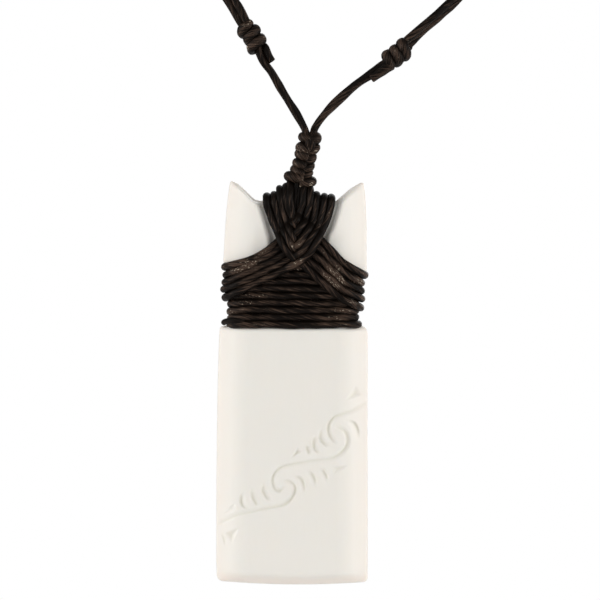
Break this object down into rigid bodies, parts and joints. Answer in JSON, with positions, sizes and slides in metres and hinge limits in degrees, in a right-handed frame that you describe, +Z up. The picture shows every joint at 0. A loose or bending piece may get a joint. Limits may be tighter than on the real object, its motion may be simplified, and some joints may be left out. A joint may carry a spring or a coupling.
{
  "type": "bone pendant necklace",
  "caption": "Flat bone pendant with a horned top and carved band, lashed with black waxed cord to a plaited column and an adjustable neck cord with sliding knots.",
  "frame": {"origin": "the point at the nape on which the neck cord rests when worn", "axes": "+Z up, -Y towards the wearer's front and the pendant's carved face, +X towards the wearer's left, which is the right in the picture"},
  "size_m": [0.1265, 0.1279, 0.1619],
  "materials": {
    "bone": "matt polished bone",
    "waxed_cord": "black waxed cord, slight sheen"
  },
  "bodies": {
    "root": {"bone_plate": "bone", "waist_lashing": "waxed_cord", "cross_lashing_left": "waxed_cord", "cross_lashing_right": "waxed_cord", "column_knot": "waxed_cord", "front_cord_left_running": "waxed_cord", "front_cord_left_tied": "waxed_cord", "front_cord_right_running": "waxed_cord", "front_cord_right_tied": "waxed_cord", "sliding_knot_left": "waxed_cord", "sliding_knot_right": "waxed_cord", "neck_cord_inner": "waxed_cord", "neck_cord_outer": "waxed_cord"}
  },
  "joints": []
}
